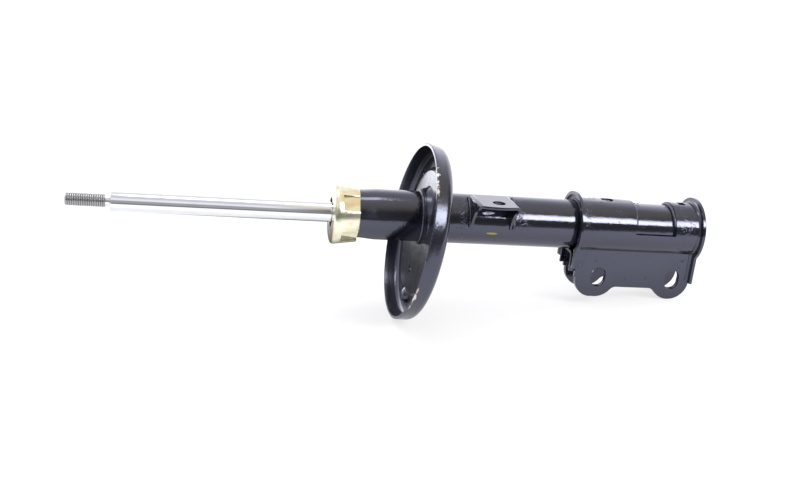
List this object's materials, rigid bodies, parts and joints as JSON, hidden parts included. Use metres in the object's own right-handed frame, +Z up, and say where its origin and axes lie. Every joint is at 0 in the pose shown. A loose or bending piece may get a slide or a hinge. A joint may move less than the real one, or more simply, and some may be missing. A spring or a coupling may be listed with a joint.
{
  "type": "strut assembly",
  "caption": "Twin-tube suspension strut with chromed rod, threaded stud, cap, tilted dished spring seat, link bracket and a two-eared knuckle clevis, lying on its seat and ears.",
  "frame": {"origin": "middle of the upper knuckle bolt's slots, halfway between the two ears", "axes": "+Z up with the strut at rest on a floor, +X along the strut from stud to clevis (6.7 degrees nose-down), +Y across it, away from the link bracket"},
  "size_m": [0.6912, 0.1952, 0.1905],
  "materials": {
    "black_paint": "gloss black enamel over pressed steel",
    "black_weld": "gloss black enamel over weld bead",
    "zinc_yellow": "yellow passivated zinc plate, iridescent",
    "rod_chrome": "ground hard chrome",
    "steel": "machined steel",
    "spring_steel": "spring steel",
    "sintered_iron": "sintered iron",
    "bronze": "bronze backed bush",
    "rubber": "nitrile rubber",
    "bumper_polymer": "polyurethane",
    "band_polymer": "filled PTFE"
  },
  "bodies": {
    "housing": {"outer_tube": "black_paint", "base_cap": "black_paint", "bump_stop_cap": "zinc_yellow", "spring_seat": "black_paint", "seat_welds": "black_weld", "link_bracket": "black_paint", "link_bracket_welds": "black_weld", "clevis_bracket": "black_paint", "clevis_inner_plate": "black_paint", "clevis_welds": "black_weld", "inner_cylinder": "steel", "rod_guide": "sintered_iron", "guide_bush": "bronze", "seal_plate": "steel", "rod_seal": "rubber", "garter_spring": "spring_steel", "guide_o_ring": "rubber", "base_valve_body": "sintered_iron", "base_check_spring": "spring_steel", "base_valve_shims": "spring_steel", "base_valve_pin": "steel", "base_valve_nut": "steel"},
    "band": {"piston_band": "band_polymer"},
    "rod": {"piston_rod": "rod_chrome", "rebound_bumper": "bumper_polymer", "rebound_stop": "steel", "stop_ring": "spring_steel", "valve_stop": "steel", "check_spring": "spring_steel", "piston": "sintered_iron", "rebound_shims": "spring_steel", "piston_nut": "steel"},
    "piston_check": {"check_disc": "spring_steel"},
    "base_check": {"base_check_disc": "spring_steel"}
  },
  "joints": [
    {"name": "rod_slide", "type": "slide", "parent": "housing", "child": "band", "axis": [0.9931, 0, -0.1169], "range_m": [0, 0.185], "stiffness_N_per_m": 150, "springref_m": -0.7},
    {"name": "rod_turn", "type": "hinge", "parent": "band", "child": "rod", "pos_m": [-0.29157, 0, 0.08919], "axis": [0.9931, 0, -0.1169], "continuous": true},
    {"name": "piston_check_lift", "type": "slide", "parent": "rod", "child": "piston_check", "axis": [-0.9931, 0, 0.1169], "range_m": [0, 0.0008], "stiffness_N_per_m": 400, "springref_m": -0.002, "deforming": ["check_spring"]},
    {"name": "base_check_lift", "type": "slide", "parent": "housing", "child": "base_check", "axis": [-0.9931, 0, 0.1169], "range_m": [0, 0.001], "stiffness_N_per_m": 200, "springref_m": -0.002, "deforming": ["base_check_spring"]}
  ]
}
